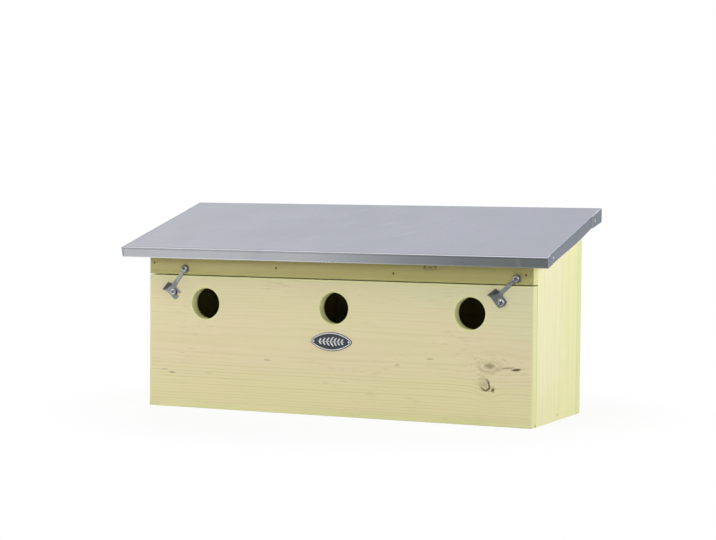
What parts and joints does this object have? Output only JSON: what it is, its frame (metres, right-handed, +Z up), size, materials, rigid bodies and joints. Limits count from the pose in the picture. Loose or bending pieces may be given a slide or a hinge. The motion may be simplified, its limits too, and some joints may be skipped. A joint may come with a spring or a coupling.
{
  "type": "sparrow nest box",
  "caption": "Long wooden sparrow nest box with round entrances, a drop-down front held by swivel catches, and a sloping sheet-metal roof.",
  "frame": {"origin": "middle of the case along its length and of the whole depth with the roof, on the plane that it stands on", "axes": "+X along the box to the right seen from the front, +Y from the front to the wall side, +Z up"},
  "size_m": [0.5201, 0.1862, 0.2348],
  "materials": {
    "pine_boards": "sawn, pressure treated",
    "side_pine": "planed, pressure treated",
    "front_pine": "planed, pressure treated",
    "roof_metal": "galvanised sheet",
    "nail_steel": "blued",
    "screw_zinc": "zinc plated",
    "hinge_steel": "zinc plated",
    "plate_metal": "stamped, dark enamel in the field",
    "catch_steel": "zinc plated"
  },
  "bodies": {
    "root": {"floor_board": "pine_boards", "back_board": "pine_boards", "left_side_board": "side_pine", "right_side_board": "side_pine", "left_partition": "pine_boards", "right_partition": "pine_boards", "front_rail": "front_pine", "roof_board": "pine_boards", "roof_sheet": "roof_metal", "roof_nails": "nail_steel", "rail_nails": "nail_steel", "side_nails": "nail_steel", "back_nails": "nail_steel", "left_pivot_screw": "screw_zinc", "right_pivot_screw": "screw_zinc", "left_hinge_floor_leaf": "hinge_steel", "right_hinge_floor_leaf": "hinge_steel", "left_hinge_pin": "hinge_steel", "right_hinge_pin": "hinge_steel", "hinge_floor_screws": "screw_zinc"},
    "door": {"front_door": "front_pine", "oval_plate": "plate_metal", "plate_pins": "screw_zinc", "left_keeper_screw": "screw_zinc", "right_keeper_screw": "screw_zinc", "left_hinge_door_leaf": "hinge_steel", "right_hinge_door_leaf": "hinge_steel", "hinge_door_screws": "screw_zinc"},
    "left_catch_body": {"left_catch": "catch_steel"},
    "right_catch_body": {"right_catch": "catch_steel"}
  },
  "joints": [
    {"name": "door_hinge", "type": "hinge", "parent": "root", "child": "door", "pos_m": [0, -0.0575, 0.002], "axis": [1, 0, 0], "range_deg": [0, 90]},
    {"name": "left_catch_pivot", "type": "hinge", "parent": "root", "child": "left_catch_body", "pos_m": [-0.18864, -0.07205, 0.16011], "axis": [0, 1, 0], "range_deg": [0, 69]},
    {"name": "right_catch_pivot", "type": "hinge", "parent": "root", "child": "right_catch_body", "pos_m": [0.21612, -0.07205, 0.16004], "axis": [0, 1, 0], "range_deg": [0, 57]}
  ]
}
